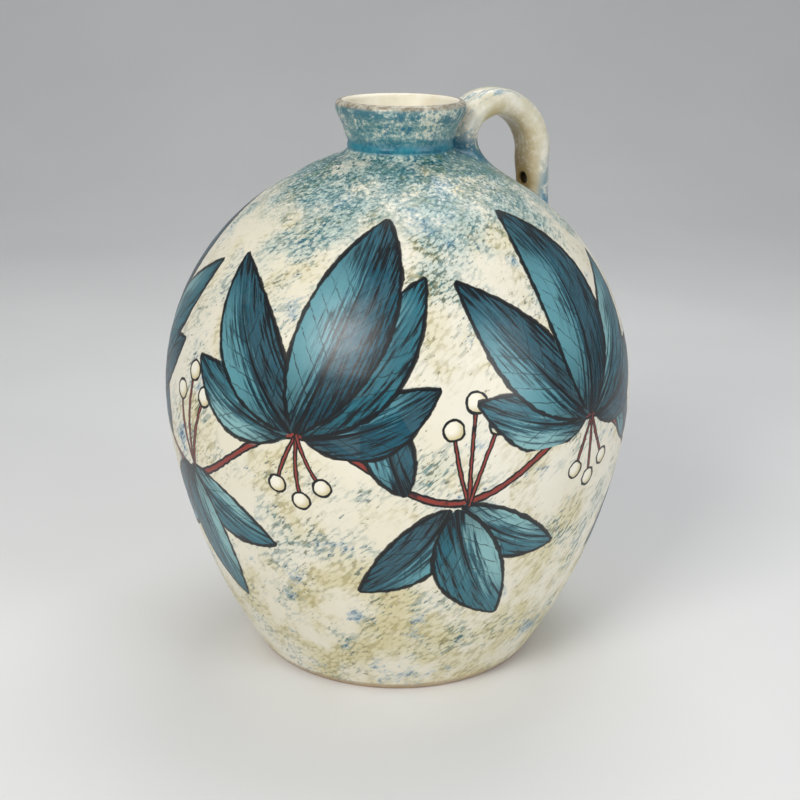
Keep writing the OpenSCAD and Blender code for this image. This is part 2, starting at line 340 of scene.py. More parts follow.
def collar(t, col, p, z, r, ang):
    """Teal and blue on and round the neck: dabs, a washed wall, a pool, a rubbed rim and painted
    shade by the handle.
    """
    near = ramp(r, *ROUND_NECK) * ramp(z, *ABOVE_SHOULDER)
    patch = noise(p, 9.0, 4.0, 0.66, 15.0)
    fine = noise(p, 1.5, 3.0, 0.66, 3.0)
    dabs = near * ramp(patch + about(fine, 0.9), 0.37, 0.60) * 0.85
    col = mix(dabs, col, mix(ramp(patch, 0.52, 0.64), DAB_TEAL, DAB_GREEN))
    col = mix(near * ramp(fine + about(patch, 0.4), 0.55, 0.64) * 0.85, col, DAB_DARK)
    # The wall of the neck, brushed round it, with runs down it
    wall = ramp(z, *NECK_WALL) * ramp(r, *NECK_SIDE)
    brush = noise(vec(t, ang.cos() * 6.0, ang.sin() * 6.0, z), 2.6, 5.0, 0.7, 2.0)
    col = mix(wall * 0.55, col, WALL_PALE)
    strokes = ramp(brush + about(patch, 0.5) + about(fine, 0.6), 0.38, 0.66)
    col = mix(wall * strokes * 0.85, col, WALL_TEAL)
    bare = ramp(patch + about(fine, 0.9) + about(brush, 0.5), 0.46, 0.30)
    col = mix(wall * bare * 0.7, col, WALL_CREAM)
    run = noise(vec(t, ang.cos() * 24.0, ang.sin() * 24.0, z * 0.22), 2.6, 3.0, 0.6, 21.0)
    col = mix(wall * ramp(run + about(fine, 0.4), 0.59, 0.69) * 0.7, col, WALL_BLUE)
    # The pool at its base, a band under the lip, and the rim, where the glaze is rubbed
    ring = ramp(z + about(patch, 1.0), *POOL_FLOOR)
    ring = ring * ramp(z + about(patch, 4.0) + about(fine, 2.0), *POOL_TOP)
    pool = mix(ramp(patch + about(fine, 0.3), 0.40, 0.62), POOL_LIGHT, POOL_DEEP)
    col = mix(ring * ramp(r, *POOL_SIDE) * 0.93, col, pool)
    band = ramp(z, *UNDER_LIP) * ramp(r, *NECK_SIDE) * ramp(patch + about(fine, 0.5), 0.42, 0.60)
    col = mix(band * 0.7, col, BAND_BLUE)
    rub = ramp(z, *RIM) * ramp(r, *NECK_SIDE) * 0.85
    col = mix(rub, col, mix(ramp(noise(p, 2.6, 4.0, 0.7, 29.0), 0.4, 0.6), RIM_BROWN, RIM_PALE))
    # Painted shade, brown, in the crevice between neck and handle
    crevice_shade = ramp((ang.sin() * r).abs(), *CORNER_SIDE) * ramp(ang.cos(), *CORNER_TURN)
    crevice_shade = crevice_shade * ramp(r, *CORNER_REACH) * ramp(z, *CORNER_WALL)
    col = mix(crevice_shade * ramp(fine + about(patch, 0.5), 0.34, 0.54) * 0.75, col, CORNER_SHADE_BROWN)
    return col


class Painter:
    """Lays paint over a ground colour, in millimetres: u round the jug, v up the wall."""

    VEIN_PITCH = 8.6

    def __init__(self, t, p, col):
        self.t, self.col = t, col
        self.shake = noise(p, 3.0, 2.0, 0.5, 31.0) - 0.5
        self.press = noise(p, 7.0, 2.0, 0.6, 77.0)
        self.wander = noise(p, 8.0, 2.0, 0.6, 5.0) - 0.45

    def lay(self, f, colour):
        """Paints a colour over what is there, by the factor f."""
        self.col = mix(f, self.col, colour)

    def leaf(self, u, v, at, angle, length, half, curl, tone):
        """A pointed leaf with a midrib, broken veins, brushed shade and a hand-drawn outline."""
        # Along the leaf is a, or k as a share of its length, and across it is b
        c, s = angle.cos(), angle.sin()
        du, dv = u - at[0], v - at[1]
        a = du * c + dv * s
        b = dv * c - du * s - (a * a - a * length) * curl
        k = a / length
        kc = k.max(0.0).min(1.0)
        width = (kc ** 0.8) * (1.0 - kc) ** 0.92 * (half * 3.3)
        ab = b.abs()
        edge = width - ab + self.shake * 1.3
        inside = k.over(0.004) * k.under(0.995)
        mask = ramp(edge, -0.1, 0.25) * inside
        grain = vec(self.t, a * 0.06, b * 0.75, at[1] * 0.37 + at[0] * 0.11)
        streak = noise(grain, 1.0, 4.0, 0.66)
        dark, mid, light = tone
        # The wash runs past the line on one side
        bleed = ramp(width - ab + self.wander * 7.0, -0.8, 1.4) * ramp(b, -0.5, 2.5) * inside
        self.lay(bleed * 0.5, light)

        fill = mix(ramp(streak, 0.36, 0.58), dark, mid)
        fill = mix(ramp(streak + b * 0.022, 0.52, 0.70) * ramp(k, 0.98, 0.55), fill, light)
        fill = mix(ramp(k, 0.40, 0.02) * 0.6, fill, LEAF_BASE)
        self.lay(mask * 0.97, fill)

        # Dry strokes along the leaf, closer at its base and tip and on its shaded half
        ends = ramp(k, 0.62, 0.98) + ramp(k, 0.36, 0.04)
        dry = ramp(streak - ends * 0.13 + b * 0.010, 0.40, 0.33)
        heavy = self.press * 1.9
        line = ramp((edge - 0.3).abs() - heavy, 0.25, -0.25) * ramp(k, 0.0, 0.05)
        rib = ramp(ab - ramp(k, 0.95, 0.0) * 0.8, 0.25, -0.15) * k.under(0.96)
        slant = (a - ab * 1.1) / self.VEIN_PITCH + self.shake * 0.3
        comb = (slant.fract() - 0.5).abs() * self.VEIN_PITCH
        vein = ramp(comb - self.press * 0.6, 0.20, -0.12)
        vein = vein * ramp(edge, 0.4, 2.2) * ramp(streak, 0.40, 0.52)
        ink = (line * inside).max(
            (rib * inside).max((vein * ramp(k, 0.85, 0.5) * 0.7).max(dry * 0.92) * mask))
        self.lay(ink * 0.97, INK)

    def stalk(self, u, v, start, end, half, bow):
        """A bowed stroke between two points."""
        dx, dy = end[0] - start[0], end[1] - start[1]
        ln = math.hypot(dx, dy)
        c, s = dx / ln, dy / ln
        du, dv = u - start[0], v - start[1]
        a = du * c + dv * s
        b = dv * c - du * s - (a * (ln - a)) * (4 * bow / ln ** 2)
        d = b.abs() + (a * -1.0).max(0.0) + (a - ln).max(0.0)
        self.stroke(d + self.shake * 0.9, half)

    def stroke(self, d, half):
        """A rust-red stroke with a dark edge, by the distance from its middle."""
        self.lay(ramp(d - self.press * 0.5, half + 0.4, half + 0.05), INK)
        self.lay(ramp(d, half * 0.8, half * 0.5) * ramp(self.press, 0.25, 0.45), RUST)

    def berry(self, u, v, at, size):
        """A round cream berry with a dark line and a light upper left."""
        d = ((u - at[0]) ** 2.0 + (v - at[1]) ** 2.0).sqrt() + self.shake * 1.3
        off = size * 0.3
        shine = ((u - (at[0] - off)) ** 2.0 + (v - (at[1] + off)) ** 2.0).sqrt()
        body = mix(ramp(shine + self.wander, size * 0.4, size * 1.4), BERRY_LIGHT, BERRY_SHADE)
        self.lay(ramp(d - self.press * 0.7, size + 0.35, size), INK)
        self.lay(ramp(d, size - 0.35, size - 0.65), body)


# The vine: repeats round the jug, its wave, and how far a leaf's angle may change, in radians
REPEATS, START, CREST, LEAF_SWAY = 5, 0.30, 0.25, 0.30
WAVE_H, WANDER_H, VINE_DROP, VINE_HALF, STALK_HALF = 15.0, 2.5, 6.0, 1.2, 0.5

# Leaves: seed, place, angle in degrees, length, half width, curl and tone
HANGING = (
    (1.0, (2.0, -20.0), -22, 52.0, 10.5, 0.006, SOFT),
    (2.0, (-2.0, -21.0), -130, 53.0, 11.5, -0.006, DEEP),
    (3.0, (0.0, -21.0), -76, 62.0, 14.0, 0.004, SOFT))
BESIDE = (4.0, (-20.0, -15.0), 112, 44.0, 9.5, -0.004, DEEP)
STANDING = (
    (5.0, (-3.0, 7.0), 160, 54.0, 11.5, -0.005, SOFT),
    (6.0, (3.0, 7.0), 20, 56.0, 12.0, 0.006, DEEP),
    (7.0, (-1.0, 8.0), 124, 76.0, 15.0, -0.004, DEEP),
    (8.0, (2.0, 8.0), 50, 74.0, 14.5, 0.005, SOFT),
    (9.0, (0.0, 8.0), 86, 92.0, 18.0, 0.003, DEEP))

# Berries on stalks that rise from a trough of the vine, and on stalks that hang from a crest
TROUGH, RISING, RISING_R = (5.0, -20.0), ((-2.0, 12.0), (7.0, 22.0), (16.0, 13.0)), 4.0
TOP, DROOPING, DROOPING_R = (1.0, 8.0), ((-8.0, -14.0), (2.0, -20.0), (11.0, -13.0)), 3.7

# The cluster under the handle is smaller by this share
LESS_AT_HANDLE = 0.40


def foliage(t, p, v, r, ang, col, upper):
    """A leafy vine that waves round the belly, a little different in each repeat.

    Each half of the body gets what reaches it.
    """
    turn = ang * (REPEATS / TAU) + START
    hand = Painter(t, p, col)

    def cell(offset):
        """Number of the repeat, and the way round the jug from its middle."""
        q = (turn + offset).wrap(float(REPEATS))
        i = q.floor()
        return i, (q - i - 0.5) * (TAU / REPEATS) * r

    def grow(i, u, v, seed, at, degrees, *form):
        """A leaf of the tables, turned a little by chance in each repeat."""
        angle = about(rand(i, seed), LEAF_SWAY) + math.radians(degrees)
        hand.leaf(u, v, at, angle, *form)

    # The vine itself
    wave = (turn * TAU).sin() * WAVE_H + (ang * 3.0 + 1.0).sin() * WANDER_H
    hand.stroke((v + VINE_DROP - wave).abs() * 0.85 + hand.shake * 1.2, VINE_HALF)

    # What grows from its troughs, then from its crests, from the back leaves to the front
    i, u = cell(-CREST)
    if not upper:
        for leaf in HANGING:
            grow(i, u, v, *leaf)
    grow(i, u, v, *BESIDE)
    for end in RISING:
        hand.stalk(u, v, TROUGH, end, STALK_HALF, 1.0)
        if upper:
            hand.berry(u, v, end, RISING_R)
    i, u = cell(CREST)
    small = i.under(0.5) * -LESS_AT_HANDLE + 1.0
    u = u / small
    v = (v - TOP[1]) / small + TOP[1]
    if upper:
        for leaf in STANDING:
            grow(i, u, v, *leaf)
    for end in DROOPING:
        hand.stalk(u, v, TOP, end, STALK_HALF, -1.0)
        if not upper:
            hand.berry(u, v, end, DROOPING_R)
    return hand.col


# Height above which the strap bends
ARCH_FROM = 213.0


def strap_washes(t, col, p, x, y, z, r):
    """Cream, blue streaks, brown stains and painted shade on the handle, which fade at body and
    neck.
    """
    # Distance from the body and from the neck, and where the strap is free of both
    off = ((r * r + (z - BELLY_Z) ** 2.0).sqrt() - BELLY_R)
    gap = r - (z - float(flare_p[1])) * math.tan(FLARE) - float(flare_p[0])
    free = ramp(off, 1.5, 9.0) * ramp(gap, 0.8, 3.5)
    wash = noise(p, 10.0, 3.0, 0.6, 44.0)
    fine = noise(p, 1.8, 3.0, 0.65, 9.0)
    cream = free * 0.92
    col = mix(cream, col, mix(ramp(wash + about(fine, 0.3), 0.36, 0.66), STRAP_CREAM, STRAP_WARM))
    # Blue streaks along its outside, by the distance out from the middle of the strap
    run = noise(vec(t, x * 0.10, y * 0.62, z * 0.10), 1.0, 3.0, 0.62, 5.0)
    bend = ((x - APEX_X) ** 2.0 + (z - ARCH_FROM).max(0.0) ** 2.0).sqrt()
    out = bend + ramp(x, APEX_X, ROOT_X + 1.0, 0.0, LEG_BEND - ROOT_BEND) - LEG_BEND
    streak = ramp(run + about(fine, 0.3), 0.48, 0.64)
    col = mix(ramp(out, 1.5, 5.0) * free * streak * 0.75, col, STREAK_BLUE)
    # Blue at the leg's foot and at the root
    foot = ramp(off, 26.0, 5.0) * ramp(off, 0.1, 1.6) * ramp(x, LEG_X - 6.0, LEG_X + 2.0)
    foot = foot * ramp(wash + about(run, 0.8) + about(fine, 0.3), 0.34, 0.54)
    col = mix(foot * 0.85, col, FOOT_BLUE)
    base = ramp(off, 17.0, 4.0) * ramp(off, 0.1, 2.4) * ramp(x, APEX_X - 2.0, APEX_X - 12.0)
    mottle = ramp(wash * 0.4 + fine * 1.1 + base * 0.10, 0.69, 0.85)
    col = mix(base * mottle * 0.88, col, ROOT_BLUE)
    # Olive under the arch, and tan and brown on the leg's inner face, partly stain and partly
    # painted shade
    under = ramp(out, 3.5, -2.0) * ramp(x, APEX_X + 8.0, APEX_X - 6.0) * ramp(off, 8.0, 16.0)
    col = mix(under * ramp(wash + about(fine, 0.6), 0.30, 0.50) * 0.72, col, ARCH_OLIVE)
    face = ramp(out, 0.5, -3.5) * ramp(x, APEX_X - 2.0, APEX_X + 8.0) * ramp(off, 0.5, 5.0)
    tan = face * ramp(y, -13.0, -4.0) * ramp(fine + about(wash, 0.5), 0.25, 0.6, 0.3, 0.75)
    col = mix(tan, col, FACE_TAN)
    # The brown is painted shade mixed with stain, darker towards the far side of the inner face and
    # lower down
    shade = face * ramp(y, -9.0, 6.0) * ramp(z, 222.0, 200.0, 0.4, 1.0)
    col = mix(shade * ramp(wash + about(fine, 0.8), 0.25, 0.55, 0.5, 1.0), col, FACE_STAIN_SHADE)
    # The hidden hole: a brown stain round it, and painted shade inside it
    hole = (y * y + (z - HOLE_Z) ** 2.0).sqrt()
    inner = ramp(x, LEG_X + 2.0, LEG_X - 2.0) * ramp(x, APEX_X + 2.0, APEX_X + 10.0)
    col = mix(ramp(hole + about(wash, 4.0), 8.5, 2.8) * inner * 0.75, col, HOLE_BROWN)
    # Painted shade on the hole's inner wall
    hole_shade = ramp(hole, HOLE_R + 0.8, HOLE_R - 0.2) * ramp(x, LEG_X + 5.2, LEG_X + 4.2)
    return mix(hole_shade * ramp(x, APEX_X + 2.0, APEX_X + 10.0), col, HOLE_SHADE)


def glaze(name, kind):
    """The glaze outside: of the body's "upper" or "lower" half, the "neck" or the "handle"."""
    m, t, bsdf = new_material(name)
    p, x, y, z, r, ang = place(t)
    v, q = spread(t, z, r, ang)
    col, dab, grit = ground(p, q, z)
    if kind != "lower":
        col = collar(t, col, p, z, r, ang)
    if kind in ("upper", "lower"):
        col = foliage(t, p, v, r, ang, col, kind == "upper")
    if kind == "lower":
        # The glaze thins to bare clay at the foot
        col = mix(ramp(z + about(dab, 3.0), *FOOT_EDGE) * 0.8, col, FOOT_CLAY)
    if kind == "handle":
        col = strap_washes(t, col, p, x, y, z, r)
    put(bsdf.inputs["Base Color"], col)
    put(bsdf.inputs["Roughness"], dab * 0.16 + grit * 0.08 + 0.20)
    bsdf.inputs["IOR"].default_value = 1.46
    bump(t, bsdf, noise(p, 7.0, 2.0, 0.5, 51.0) * 0.5 + dab * 0.16 + grit * 0.05, 0.3, 0.0006)
    return m


def liner_glaze():
    """The plain cream glaze inside, with throwing rings."""
    m, t, bsdf = new_material("liner_glaze")
    p, _, _, z, _, _ = place(t)
    cloud = noise(p, 18.0, 3.0, 0.6)
    fine = noise(p, 1.4, 3.0, 0.65, 12.0)
    col = mix(ramp(cloud, 0.35, 0.7), LINER, LINER_WARM)
    col = mix(ramp(fine, 0.66, 0.74) * 0.4, col, LINER_FLECK)
    put(bsdf.inputs["Base Color"], col)
    put(bsdf.inputs["Roughness"], cloud * 0.14 + 0.36)
    ring = (z * (TAU / 7.5) + noise(p, 30.0) * 3.0).sin()
    bump(t, bsdf, ring * 0.4 + fine * 0.1, 0.3, 0.0008)
    return m


def clay(name, light, dark):
    """Unglazed clay, with grit and the marks of turning."""
    m, t, bsdf = new_material(name)
    p, _, _, _, r, _ = place(t)
    cloud = noise(p, 14.0, 3.0, 0.6)
    grit = noise(p, 0.9, 4.0, 0.75, 8.0)
    col = mix(ramp(cloud * 0.6 + grit * 0.4, 0.38, 0.64), light, dark)
    col = mix(ramp(grit, 0.68, 0.74) * 0.6, col, CLAY_FLECK)
    put(bsdf.inputs["Base Color"], col)
    put(bsdf.inputs["Roughness"], grit * 0.2 + 0.62)
    turn = (r * (TAU / 1.7) + noise(p, 6.0) * 2.0).sin()
    bump(t, bsdf, turn * 0.35 + grit * 0.6, 0.5, 0.0005)
    return m


upper_mat = glaze("painted_shoulder_glaze", "upper")
lower_mat = glaze("painted_belly_glaze", "lower")
neck_mat = glaze("washed_neck_glaze", "neck")
handle_mat = glaze("streaked_handle_glaze", "handle")
liner_mat = liner_glaze()
foot_mat = clay("bare_clay", srgb(196, 170, 132), srgb(158, 128, 92))
inner_mat = clay("fired_clay", srgb(214, 202, 172), srgb(188, 170, 134))


# Turned pieces

# The shoulder's rise towards the neck, and the height over which the neck takes it up
SHOULDER_RISE, RISE_FROM, SETTLED = 1.8, (50.0, 26.0), (215.5, 223.0)

# Unevenness of the thrown wall: a slow wave, and fine throwing ridges that drift up and down
WAVE, WAVE_SPAN = 0.30, 46.0
RIDGE, RIDGE_PITCH, DRIFT, DRIFT_SPAN = 0.07, 8.3, 1.3, 17.0

# Segments round a turned piece, the sharpest edge that is shaded smooth, and no distance at all
SEGMENTS, SMOOTH_EDGE, TOUCH = 288, math.radians(28), 1e-6

# Order of the materials on a turned piece
OUTSIDE, LINED, BARE = 0, 1, 2


def smooth(x, lo, hi):
    """Smooth step of x from lo to hi, where hi may be the lower number."""
    q = np.clip((x - lo) / (hi - lo), 0.0, 1.0)
    return q * q * (3 - 2 * q)


def lift(r):
    """How far the shoulder rises above the round towards the neck."""
    return SHOULDER_RISE * smooth(r, *RISE_FROM)


def settle(z):
    """Share of that rise at a height, which the neck takes up."""
    return 1.0 - smooth(z, *SETTLED)


def raised(pts):
    """Points of an outline with the rise added."""
    return [(r, z + float(lift(r) * settle(z))) for r, z in pts]


def sunk(ang, z):
    """How far the hand-thrown outer wall falls inside the true round, in millimetres."""
    wave = 0.5 + 0.5 * np.sin(2 * ang + 0.7) * np.sin(z / WAVE_SPAN + 0.4)
    ridge = 0.5 + 0.5 * np.sin(z * TAU / RIDGE_PITCH + ang + DRIFT * np.sin(z / DRIFT_SPAN))
    return WAVE * wave + RIDGE * ridge


def arc(c, r, a0, a1, pitch=2.0):
    """Points on an arc round c from angle a0 to a1."""
    n = max(2, int(abs(a1 - a0) * r / pitch) + 1)
    return [(c[0] + r * math.cos(a), c[1] + r * math.sin(a)) for a in np.linspace(a0, a1, n)]


def line(a, b, pitch=3.0):
    """Points on a straight line from a to b."""
    n = max(1, int(math.dist(a, b) / pitch))
    return [(a[0] + (b[0] - a[0]) * i / n, a[1] + (b[1] - a[1]) * i / n) for i in range(n + 1)]


def curve(a, b, c, d, n):
    """Points on the curve from a to d that leaves towards b and arrives from c."""
    return [tuple(a * (1 - k) ** 3 + 3 * b * k * (1 - k) ** 2
                  + 3 * c * k * k * (1 - k) + d * k ** 3) for k in np.linspace(0, 1, n)]


def link_object(name, data):
    """A new object of the scene that holds a mesh, a lamp or a camera."""
    o = bpy.data.objects.new(name, data)
    bpy.context.collection.objects.link(o)
    return o


def to_object(name, bm):
    """Turns a bmesh into an object of the scene."""
    me = bpy.data.meshes.new(name)
    bm.to_mesh(me)
    bm.free()
    return link_object(name, me)


def turned(name, stretches):
    """Revolves a closed outline.

    Each stretch is (points, material index, whether it is the hand-thrown outside).
    """
    rings, mats = [], []
    for pts, mat, outside in stretches:
        for r, z in pts:
            if rings and math.dist(rings[-1][:2], (r, z)) < TOUCH:
                rings[-1] = (r, z, outside or rings[-1][2])
                continue
            rings.append((r, z, outside))
            mats.append(mat)
    # The faces from one ring to the next have the next one's material
    mats = mats[1:] + [stretches[-1][1]]
    if math.dist(rings[0][:2], rings[-1][:2]) < TOUCH:
        rings.pop()
    bm = bmesh.new()
    loops = []
    for r, z, outside in rings:
        if r < TOUCH:
            loops.append([bm.verts.new((0.0, 0.0, z * MM))])
            continue
        loop = []
        for k in range(SEGMENTS):
            a = TAU * k / SEGMENTS
            rr = r - (sunk(a, z) if outside else 0.0)
            loop.append(bm.verts.new((rr * math.cos(a) * MM, rr * math.sin(a) * MM, z * MM)))
        loops.append(loop)
    for a, b, mat in zip(loops, loops[1:] + loops[:1], mats):
        if len(a) == 1 and len(b) == 1:
            continue
        for k in range(SEGMENTS):
            k2 = (k + 1) % SEGMENTS
            if len(a) == 1:
                f = bm.faces.new((a[0], b[k2], b[k]))
            elif len(b) == 1:
                f = bm.faces.new((a[k], a[k2], b[0]))
            else:
                f = bm.faces.new((a[k], a[k2], b[k2], b[k]))
            f.material_index = mat
            f.smooth = True
    bmesh.ops.recalc_face_normals(bm, faces=bm.faces)
    for e in bm.edges:
        if len(e.link_faces) == 2 and e.calc_face_angle() > SMOOTH_EDGE:
            e.smooth = False
    return to_object(name, bm)


# Roundings under the foot, and rings of the mesh beside an edge or on a flat
HOLLOW_EASE, HOLLOW_IN, RIDGE_EASE, RIDGE_IN = 1.4, 1.0, 0.9, 0.7
SLOPE_END, FOOT_EASE = 0.5, 0.8
EDGE_RING, FLAT_RING, FLOOR_RING, SEAT_RING = 0.05, 20.0, 30.0, 0.3

foot_a = math.atan2(BEVEL - lower_c[1], FOOT_R - lower_c[0])
corner_z = FLOOR_Z + FLOOR_FILLET
corner_reach = LOWER_R - WALL - FLOOR_FILLET
corner_c = (lower_c[0] + math.sqrt(corner_reach ** 2 - (corner_z - lower_c[1]) ** 2), corner_z)
corner_a = math.atan2(corner_z - lower_c[1], corner_c[0] - lower_c[0])
hollow_r = FOOT_R - BEVEL - RING_W
flat_r = hollow_r - HOLLOW
foot_r = FOOT_R - BEVEL - FOOT_EASE
lap_r = BELLY_R - WALL / 2
lap_a = math.asin(LAP_H / INNER_R)
seat_a = math.acos(SEAT_R / BELLY_R)

outer_wall = arc(lower_c, LOWER_R, foot_a, -TUCK) + arc(belly_c, BELLY_R, -TUCK, 0.0)
outer_wall.insert(-1, (BELLY_R, BELLY_Z - EDGE_RING))
lower = turned("lower_body_thrown", [
    ([(0.0, HOLLOW), (flat_r - FLAT_RING, HOLLOW), (flat_r - HOLLOW_IN, HOLLOW)]
     + arc((flat_r - HOLLOW_IN, HOLLOW - HOLLOW_EASE), HOLLOW_EASE, math.pi / 2, math.pi / 4, 0.3)
     + [(hollow_r - SLOPE_END, SLOPE_END)]
     + arc((hollow_r + RIDGE_IN, RIDGE_EASE), RIDGE_EASE,
           math.radians(200), math.radians(270), 0.25)
     + line((hollow_r + RIDGE_IN, 0.0), (foot_r, 0.0))
     + arc((foot_r, FOOT_EASE), FOOT_EASE, -math.pi / 2, -math.pi / 4, 0.25)
     + [(FOOT_R, BEVEL)], BARE, False),
    (outer_wall, OUTSIDE, True),
    ([(BELLY_R, BELLY_Z), (lap_r - GAP, BELLY_Z), (lap_r - GAP, BELLY_Z + LAP_H)], BARE, False),
    (arc(belly_c, INNER_R, lap_a, -TUCK)
     + arc(lower_c, LOWER_R - WALL, -TUCK, corner_a)
     + arc(corner_c, FLOOR_FILLET, corner_a, -math.pi / 2)
     + [(FLOOR_RING, FLOOR_Z), (0.0, FLOOR_Z)], LINED, False),
])

spigot_r = THROAT_R + SPIGOT_T
opening_r = spigot_r + GAP
dome = arc(belly_c, BELLY_R, 0.0, seat_a)
dome.insert(1, (BELLY_R, BELLY_Z + EDGE_RING))
upper = turned("upper_body_thrown", [
    ([(lap_r, BELLY_Z), (BELLY_R, BELLY_Z)], BARE, False),
    (raised(dome), OUTSIDE, True),
    (raised([(SEAT_R, SEAT_Z)]) + [(SEAT_R - SEAT_RING, SEAT_Z), (opening_r, SEAT_Z)], BARE, False),
    (arc(belly_c, INNER_R, math.acos(opening_r / INNER_R), math.asin((LAP_H + GAP) / INNER_R)),
     LINED, False),
    ([(lap_r, BELLY_Z + LAP_H + GAP), (lap_r, BELLY_Z)], BARE, False),
])

# A thin raised ring and a groove at the base of the neck: height, half width and depth
RING_Z, RING_HALF, RING_OUT = 221.6, 0.9, 0.45
GROOVE_Z, GROOVE_HALF, GROOVE_IN = 223.8, 0.8, 0.35

# The swell under the lip: its start, its pull at both ends and its points
SWELL_DROP, SWELL_PULL, LIP_PULL, SWELL_POINTS = 9.0, 3.5, 3.0, 14

# Angles round the lip where the swell ends, and where the glaze outside ends
side_a, rim_a = math.radians(-4), math.radians(100)


def ringed(pts):
    """Points of an outline with that ring and groove added."""
    return [(r + RING_OUT * math.exp(-((z - RING_Z) / RING_HALF) ** 2)
             - GROOVE_IN * math.exp(-((z - GROOVE_Z) / GROOVE_HALF) ** 2), z) for r, z in pts]


fil_a = math.atan2(BELLY_Z - fillet_c[1], -fillet_c[0]) + TAU
lean = np.array([math.sin(FLARE), math.cos(FLARE)])
swell = flare_p + lean * (lip_z - SWELL_DROP - flare_p[1]) / lean[1]
side_p = lip_c + LIP_R * np.array([math.cos(side_a), math.sin(side_a)])
side_d = np.array([-math.sin(side_a), math.cos(side_a)])
spigot_end = SEAT_Z - SPIGOT_H
neck = turned("neck_thrown", [
    ([(spigot_r, SEAT_Z), (SEAT_R - SEAT_RING, SEAT_Z)], BARE, False),
    (raised(arc(belly_c, BELLY_R, seat_a, fil_a - math.pi, 0.8))
     + ringed(raised(arc(fillet_c, NECK_FILLET, fil_a, math.pi - FLARE, 0.3))
              + line(tuple(flare_p), tuple(swell), 1.0))
     + curve(swell, swell + lean * SWELL_PULL, side_p - side_d * LIP_PULL, side_p, SWELL_POINTS)
     + arc(lip_c, LIP_R, side_a, rim_a, 0.3), OUTSIDE, True),
    (arc(lip_c, LIP_R, rim_a, math.pi - FLARE, 0.3)
     + line(tuple(mouth_p), (THROAT_R, THROAT_TOP))
     + line((THROAT_R, THROAT_TOP), (THROAT_R, spigot_end)), LINED, False),
    ([(THROAT_R, spigot_end), (spigot_r, spigot_end), (spigot_r, SEAT_Z)], BARE, False),
])
for o, mat in ((lower, lower_mat), (upper, upper_mat), (neck, neck_mat)):
    for m in (mat, liner_mat, foot_mat):
        o.data.materials.append(m)

# Port from the throat into the handle: the cutter's length and the middle of it
PORT_L, PORT_X, PORT_SEGMENTS = 20.0, 24.0, 40

bm = bmesh.new()
bmesh.ops.create_cone(bm, cap_ends=True, segments=PORT_SEGMENTS, radius1=DUCT_R * MM,
                      radius2=DUCT_R * MM, depth=PORT_L * MM)
bmesh.ops.rotate(bm, verts=bm.verts, matrix=Matrix.Rotation(math.pi / 2, 3, "Y"))
bmesh.ops.translate(bm, verts=bm.verts, vec=(PORT_X * MM, 0.0, PORT_Z * MM))
cut = to_object("port_cutter", bm)
mod = neck.modifiers.new("port", "BOOLEAN")
mod.operation = "DIFFERENCE"
mod.solver = "EXACT"
mod.object = cut
bpy.context.view_layer.update()
solid = bpy.data.meshes.new_from_object(neck.evaluated_get(bpy.context.evaluated_depsgraph_get()))
neck.modifiers.clear()
whole, neck.data = neck.data, solid
bpy.data.meshes.remove(whole)
cutter = cut.data
bpy.data.objects.remove(cut)
bpy.data.meshes.remove(cutter)


# Handle: one soft form that flows into neck and shoulder, drawn from its distance field

# How the strap departs from the plain one, each with the heights from none to full
LEG_LEAN, LEAN_Z = 1.6, (212.0, 188.0)
LEG_THIN, LEG_NARROW, LEG_Z = 0.5, 1.0, (216.0, 190.0)
ROOT_THICK, THICK_Z = 0.4, (232.0, 216.0)
ROOT_WIDE, WIDE_Z = 0.6, (232.0, 214.0)
CREASE, CREASE_Y, CREASE_HALF, CREASE_OUT, CREASE_Z = 0.95, 0.8, 1.7, (1.0, 4.5), (205.0, 222.0)
DENT, SLACK = 0.15, 0.2

# How widely it flows into the body: everywhere, more in the web at its root, and less on the neck
FLOW, WEB_FLOW, WEB_TO, WEB_FROM = 7.0, 13.0, (60.0, 44.0), (20.0, 31.0)
NECK_FLOW, NECK_Z = 1.4, (222.0, 232.0)

# Its border on the body: depth below the surface, thickness, and reach as a share of the flow
BORDER_SINK, BORDER_T, REACH, LEAST_FLOW = 0.04, 1.8, 0.75, 8.0
PORT_END, HOLE_ROUND = 32.0, 2.2

# The box that holds it, and the pitch of the grid in it
GRIP_LO, GRIP_HI = (14.0, -28.0, 164.0), (92.0, 28.0, 246.0)
GRIP_STEP, GRIP_STEP_QUICK = 0.45, 0.6

# Corners of the grid that are filled, and how points move on to the surface
FILLED, FILL_ROUNDS, TINY = -0.01, 12, 1e-9
MOVES, MOVE_SHARE, LEAST_SLOPE = 3, 0.12, 0.25


def smin(a, b, k):
    """The lesser of two fields, with their meeting rounded over k."""
    h = np.maximum(k - np.abs(a - b), 0.0) / k
    return np.minimum(a, b) - h * h * h * k / 6.0


def smax(a, b, k):
    """The greater of two fields, with their meeting rounded over k."""
    return -smin(-a, -b, k)


def body_field(x, y, z):
    """Distance from the outer surface of shoulder, neck and lip."""
    rho = np.hypot(x, y)
    rho = rho + sunk(np.arctan2(y, x), z)
    low = z
    for _ in range(8):
        low = z - lift(rho) * settle(low)
    z = low
    ball = np.hypot(rho, z - BELLY_Z) - BELLY_R
    cone = (rho - flare_p[0]) * math.cos(FLARE) - (z - flare_p[1]) * math.sin(FLARE)
    cone = np.maximum(cone, z - lip_z)
    lip = np.hypot(rho - lip_c[0], z - lip_z) - LIP_R
    inset = np.hypot(np.maximum(NECK_FILLET - ball, 0), np.maximum(NECK_FILLET - cone, 0))
    join = np.maximum(NECK_FILLET, np.minimum(ball, cone)) - inset
    return np.minimum(join, lip)


